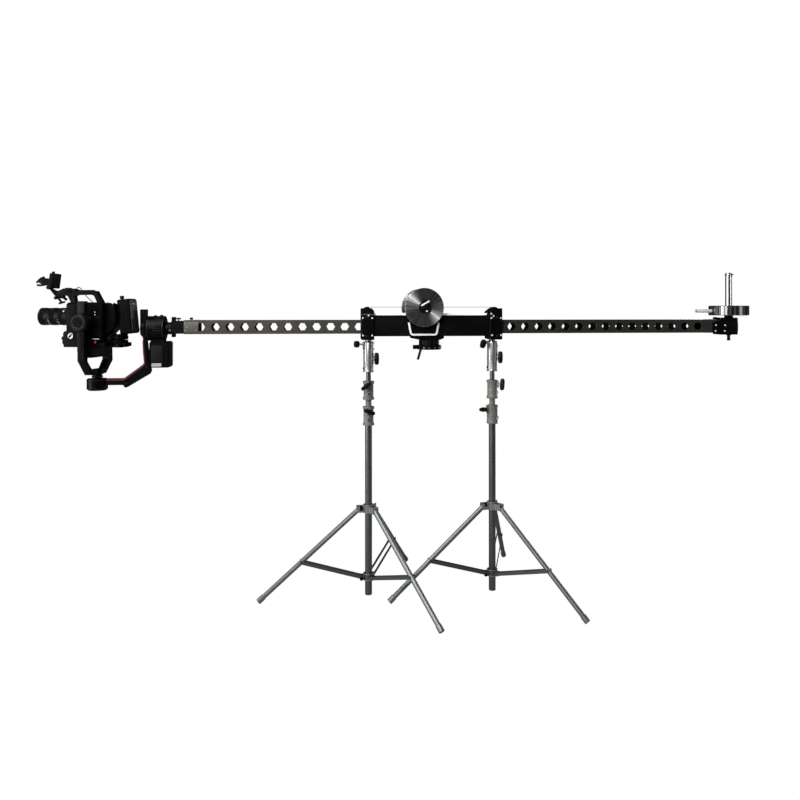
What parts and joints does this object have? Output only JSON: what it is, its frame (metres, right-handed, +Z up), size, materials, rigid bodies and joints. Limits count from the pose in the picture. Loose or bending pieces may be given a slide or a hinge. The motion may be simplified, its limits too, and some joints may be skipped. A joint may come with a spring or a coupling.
{
  "type": "telescopic camera arm",
  "caption": "Counterweighted telescopic camera arm sliding in a sleeve on braced stands, with a gimbal and camera at its nose.",
  "frame": {"origin": "middle of the bounding box at floor level, under the sleeve", "axes": "+Z up, +X along the arm toward the end weight, -Y toward the side with the gimbal's tilt motor"},
  "size_m": [3.5898, 0.9815, 1.6335],
  "materials": {
    "black_belt_rubber": "toothed",
    "black_coated_aluminium": "gloss black powder coat",
    "black_moulded_plastic": "fine texture",
    "bright_track_aluminium": "clear anodised",
    "camera_black_paint": "satin black paint",
    "dark_anodised_aluminium": "dark satin anodised",
    "gimbal_black_magnesium": "satin black",
    "grey_casting": "grey die casting",
    "lens_black_anodised": "black anodised",
    "satin_chromed_steel": "satin chromed",
    "turned_steel": "turned and polished"
  },
  "bodies": {
    "sleeve": {"sleeve_tube": "black_coated_aluminium", "left_end_block": "black_coated_aluminium", "right_end_block": "black_coated_aluminium", "trolley_track": "bright_track_aluminium", "drive_belt": "black_belt_rubber", "head_plate": "black_coated_aluminium", "left_receiver": "satin_chromed_steel", "right_receiver": "satin_chromed_steel"},
    "arm": {"arm_tube": "dark_anodised_aluminium", "nose_adapter": "black_coated_aluminium", "roll_motor": "gimbal_black_magnesium", "gimbal_battery": "gimbal_black_magnesium", "tail_casting": "black_coated_aluminium", "weight_post": "turned_steel"},
    "end_weight": {"end_weight": "turned_steel"},
    "trolley": {"trolley_frame": "black_coated_aluminium", "front_side_weight": "turned_steel", "back_side_weight": "turned_steel"},
    "axle_knob": {"axle_knob": "black_moulded_plastic"},
    "left_top_roller": {"left_top_roller": "satin_chromed_steel"},
    "left_low_roller": {"left_low_roller": "satin_chromed_steel"},
    "left_belt_pulley": {"left_belt_pulley": "grey_casting"},
    "right_top_roller": {"right_top_roller": "satin_chromed_steel"},
    "right_low_roller": {"right_low_roller": "satin_chromed_steel"},
    "right_belt_pulley": {"right_belt_pulley": "grey_casting"},
    "head_base": {"head_base": "black_coated_aluminium"},
    "clamp_lever": {"clamp_lever": "black_moulded_plastic"},
    "left_riser": {"left_riser": "satin_chromed_steel"},
    "left_riser_knob": {"left_riser_knob": "black_moulded_plastic"},
    "left_column": {"left_column": "satin_chromed_steel", "left_column_clamp": "grey_casting"},
    "left_column_knob": {"left_column_knob": "black_moulded_plastic"},
    "left_leg_collar": {"left_leg_collar": "grey_casting"},
    "left_leg_1": {"left_leg_1": "satin_chromed_steel"},
    "left_brace_1": {"left_brace_1": "satin_chromed_steel"},
    "left_leg_2": {"left_leg_2": "satin_chromed_steel"},
    "left_brace_2": {"left_brace_2": "satin_chromed_steel"},
    "left_leg_3": {"left_leg_3": "satin_chromed_steel"},
    "left_brace_3": {"left_brace_3": "satin_chromed_steel"},
    "right_riser": {"right_riser": "satin_chromed_steel"},
    "right_riser_knob": {"right_riser_knob": "black_moulded_plastic"},
    "right_column": {"right_column": "satin_chromed_steel", "right_column_clamp": "grey_casting"},
    "right_column_knob": {"right_column_knob": "black_moulded_plastic"},
    "right_leg_collar": {"right_leg_collar": "grey_casting"},
    "right_leg_1": {"right_leg_1": "satin_chromed_steel"},
    "right_brace_1": {"right_brace_1": "satin_chromed_steel"},
    "right_leg_2": {"right_leg_2": "satin_chromed_steel"},
    "right_brace_2": {"right_brace_2": "satin_chromed_steel"},
    "right_leg_3": {"right_leg_3": "satin_chromed_steel"},
    "right_brace_3": {"right_brace_3": "satin_chromed_steel"},
    "gimbal_arm": {"gimbal_arm": "gimbal_black_magnesium", "pan_motor": "gimbal_black_magnesium"},
    "fork": {"fork": "gimbal_black_magnesium"},
    "camera": {"camera_cradle": "gimbal_black_magnesium", "camera_body": "camera_black_paint", "camera_lens": "lens_black_anodised", "top_handle": "camera_black_paint", "rear_battery": "camera_black_paint"},
    "monitor": {"monitor": "camera_black_paint"}
  },
  "joints": [
    {"name": "arm_slide", "type": "slide", "parent": "sleeve", "child": "arm", "axis": [1, 0, 0], "range_m": [-1.02, 0.8]},
    {"name": "end_weight_lift", "type": "slide", "parent": "arm", "child": "end_weight", "axis": [0, 0, 1], "range_m": [0, 0.22]},
    {"name": "trolley_slide", "type": "slide", "parent": "sleeve", "child": "trolley", "axis": [1, 0, 0], "range_m": [-0.1601, 0.2041]},
    {"name": "axle_knob_turn", "type": "hinge", "parent": "trolley", "child": "axle_knob", "pos_m": [0.0814, -0.1286, 1.4508], "axis": [0, 1, 0], "continuous": true},
    {"name": "left_top_roller_turn", "type": "hinge", "parent": "sleeve", "child": "left_top_roller", "pos_m": [-0.202, -0.03, 1.4013], "axis": [0, 1, 0], "continuous": true},
    {"name": "left_low_roller_turn", "type": "hinge", "parent": "sleeve", "child": "left_low_roller", "pos_m": [-0.202, -0.03, 1.3087], "axis": [0, 1, 0], "continuous": true},
    {"name": "left_pulley_turn", "type": "hinge", "parent": "sleeve", "child": "left_belt_pulley", "pos_m": [-0.198, -0.03, 1.4355], "axis": [0, 1, 0], "continuous": true},
    {"name": "right_top_roller_turn", "type": "hinge", "parent": "sleeve", "child": "right_top_roller", "pos_m": [0.453, -0.03, 1.4013], "axis": [0, 1, 0], "continuous": true},
    {"name": "right_low_roller_turn", "type": "hinge", "parent": "sleeve", "child": "right_low_roller", "pos_m": [0.453, -0.03, 1.3087], "axis": [0, 1, 0], "continuous": true},
    {"name": "right_pulley_turn", "type": "hinge", "parent": "sleeve", "child": "right_belt_pulley", "pos_m": [0.449, -0.03, 1.4355], "axis": [0, 1, 0], "continuous": true},
    {"name": "head_turn", "type": "hinge", "parent": "sleeve", "child": "head_base", "pos_m": [0.116, -0.03, 1.2888], "axis": [0, 0, 1], "continuous": true},
    {"name": "clamp_lever_turn", "type": "hinge", "parent": "head_base", "child": "clamp_lever", "pos_m": [0.071, -0.0823, 1.2508], "axis": [0, 1, 0], "range_deg": [-40, 60]},
    {"name": "left_riser_slide", "type": "slide", "parent": "sleeve", "child": "left_riser", "axis": [0, 0, -1], "range_m": [0, 0.5]},
    {"name": "left_riser_knob_turn", "type": "hinge", "parent": "left_riser", "child": "left_riser_knob", "pos_m": [-0.19847, -0.06236, 1.0612], "axis": [-0.2588, -0.9659, 0], "range_deg": [-180, 180]},
    {"name": "left_column_slide", "type": "slide", "parent": "left_riser", "child": "left_column", "axis": [0, 0, -1], "range_m": [0, 0.48]},
    {"name": "left_column_knob_turn", "type": "hinge", "parent": "left_column", "child": "left_column_knob", "pos_m": [-0.18863, -0.06348, 0.934], "axis": [0.0349, -0.9994, 0], "range_deg": [-180, 180]},
    {"name": "left_collar_slide", "type": "slide", "parent": "left_column", "child": "left_leg_collar", "axis": [0, 0, 1], "range_m": [0, 0.3451]},
    {"name": "left_leg_1_hinge", "type": "hinge", "parent": "left_leg_collar", "child": "left_leg_1", "pos_m": [-0.24066, -0.03374, 0.44], "axis": [0.0732, -0.9973, 0], "range_deg": [0, 43.86]},
    {"name": "left_brace_1_hinge", "type": "hinge", "parent": "left_column", "child": "left_brace_1", "pos_m": [-0.2257, -0.03264, 0.1035], "axis": [-0.0732, 0.9973, 0], "range_deg": [0, 64.5]},
    {"name": "left_leg_2_hinge", "type": "hinge", "parent": "left_leg_collar", "child": "left_leg_2", "pos_m": [-0.16113, -0.07218, 0.44], "axis": [0.8271, 0.5621, 0], "range_deg": [0, 43.86]},
    {"name": "left_brace_2_hinge", "type": "hinge", "parent": "left_column", "child": "left_brace_2", "pos_m": [-0.16956, -0.05978, 0.1035], "axis": [-0.8271, -0.5621, 0], "range_deg": [0, 64.5]},
    {"name": "left_leg_3_hinge", "type": "hinge", "parent": "left_leg_collar", "child": "left_leg_3", "pos_m": [-0.1676, 0.01592, 0.44], "axis": [-0.9003, 0.4352, 0], "range_deg": [0, 43.86]},
    {"name": "left_brace_3_hinge", "type": "hinge", "parent": "left_column", "child": "left_brace_3", "pos_m": [-0.17413, 0.00241, 0.1035], "axis": [0.9003, -0.4352, 0], "range_deg": [0, 64.5]},
    {"name": "right_riser_slide", "type": "slide", "parent": "sleeve", "child": "right_riser", "axis": [0, 0, -1], "range_m": [0, 0.5]},
    {"name": "right_riser_knob_turn", "type": "hinge", "parent": "right_riser", "child": "right_riser_knob", "pos_m": [0.47038, -0.04573, 1.0612], "axis": [0.8829, -0.4695, 0], "range_deg": [-180, 180]},
    {"name": "right_column_slide", "type": "slide", "parent": "right_riser", "child": "right_column", "axis": [0, 0, -1], "range_m": [0, 0.48]},
    {"name": "right_column_knob_turn", "type": "hinge", "parent": "right_column", "child": "right_column_knob", "pos_m": [0.40932, -0.04146, 0.934], "axis": [-0.9397, -0.342, 0], "range_deg": [-180, 180]},
    {"name": "right_collar_slide", "type": "slide", "parent": "right_column", "child": "right_leg_collar", "axis": [0, 0, 1], "range_m": [0, 0.3451]},
    {"name": "right_leg_1_hinge", "type": "hinge", "parent": "right_leg_collar", "child": "right_leg_1", "pos_m": [0.39067, -0.03938, 0.44], "axis": [0.184, -0.9829, 0], "range_deg": [0, 43.86]},
    {"name": "right_brace_1_hinge", "type": "hinge", "parent": "right_column", "child": "right_brace_1", "pos_m": [0.40541, -0.03662, 0.1035], "axis": [-0.184, 0.9829, 0], "range_deg": [0, 64.5]},
    {"name": "right_leg_2_hinge", "type": "hinge", "parent": "right_leg_collar", "child": "right_leg_2", "pos_m": [0.47399, -0.06872, 0.44], "axis": [0.7593, 0.6508, 0], "range_deg": [0, 43.86]},
    {"name": "right_brace_2_hinge", "type": "hinge", "parent": "right_column", "child": "right_brace_2", "pos_m": [0.46423, -0.05733, 0.1035], "axis": [-0.7593, -0.6508, 0], "range_deg": [0, 64.5]},
    {"name": "right_leg_3_hinge", "type": "hinge", "parent": "right_leg_collar", "child": "right_leg_3", "pos_m": [0.45774, 0.0181, 0.44], "axis": [-0.9432, 0.3322, 0], "range_deg": [0, 43.86]},
    {"name": "right_brace_3_hinge", "type": "hinge", "parent": "right_column", "child": "right_brace_3", "pos_m": [0.45276, 0.00396, 0.1035], "axis": [0.9432, -0.3322, 0], "range_deg": [0, 64.5]},
    {"name": "roll_axis", "type": "hinge", "parent": "arm", "child": "gimbal_arm", "pos_m": [0.1255, -0.03, 1.349], "axis": [1, 0, 0], "range_deg": [-90, 90]},
    {"name": "pan_axis", "type": "hinge", "parent": "gimbal_arm", "child": "fork", "pos_m": [-1.5065, -0.03, 0], "axis": [0, 0, 1], "range_deg": [-120, 110]},
    {"name": "tilt_axis", "type": "hinge", "parent": "fork", "child": "camera", "pos_m": [-1.5065, -0.03, 1.3794], "axis": [0.2079, 0.9781, 0], "range_deg": [-30, 13]},
    {"name": "monitor_tilt", "type": "hinge", "parent": "camera", "child": "monitor", "pos_m": [-1.74108, 0.00146, 1.548], "axis": [0.2079, 0.9781, 0], "range_deg": [-60, 4]}
  ],
  "couplings": [
    {"joint": "trolley_slide", "follows": "arm_slide", "ratio": -0.2},
    {"joint": "left_top_roller_turn", "follows": "arm_slide", "rad_per_m": -83.333},
    {"joint": "left_low_roller_turn", "follows": "arm_slide", "rad_per_m": 83.333},
    {"joint": "left_pulley_turn", "follows": "arm_slide", "rad_per_m": -12.121},
    {"joint": "right_top_roller_turn", "follows": "arm_slide", "rad_per_m": -83.333},
    {"joint": "right_low_roller_turn", "follows": "arm_slide", "rad_per_m": 83.333},
    {"joint": "right_pulley_turn", "follows": "arm_slide", "rad_per_m": -12.121},
    {"joint": "left_leg_1_hinge", "follows": "left_collar_slide", "rad_per_m": 2.2176},
    {"joint": "left_brace_1_hinge", "follows": "left_collar_slide", "rad_per_m": 3.2617},
    {"joint": "left_leg_2_hinge", "follows": "left_collar_slide", "rad_per_m": 2.2176},
    {"joint": "left_brace_2_hinge", "follows": "left_collar_slide", "rad_per_m": 3.2617},
    {"joint": "left_leg_3_hinge", "follows": "left_collar_slide", "rad_per_m": 2.2176},
    {"joint": "left_brace_3_hinge", "follows": "left_collar_slide", "rad_per_m": 3.2617},
    {"joint": "right_leg_1_hinge", "follows": "right_collar_slide", "rad_per_m": 2.2176},
    {"joint": "right_brace_1_hinge", "follows": "right_collar_slide", "rad_per_m": 3.2617},
    {"joint": "right_leg_2_hinge", "follows": "right_collar_slide", "rad_per_m": 2.2176},
    {"joint": "right_brace_2_hinge", "follows": "right_collar_slide", "rad_per_m": 3.2617},
    {"joint": "right_leg_3_hinge", "follows": "right_collar_slide", "rad_per_m": 2.2176},
    {"joint": "right_brace_3_hinge", "follows": "right_collar_slide", "rad_per_m": 3.2617},
    {"joint": "right_riser_slide", "follows": "left_riser_slide", "ratio": 1},
    {"joint": "right_column_slide", "follows": "left_column_slide", "ratio": 1}
  ]
}
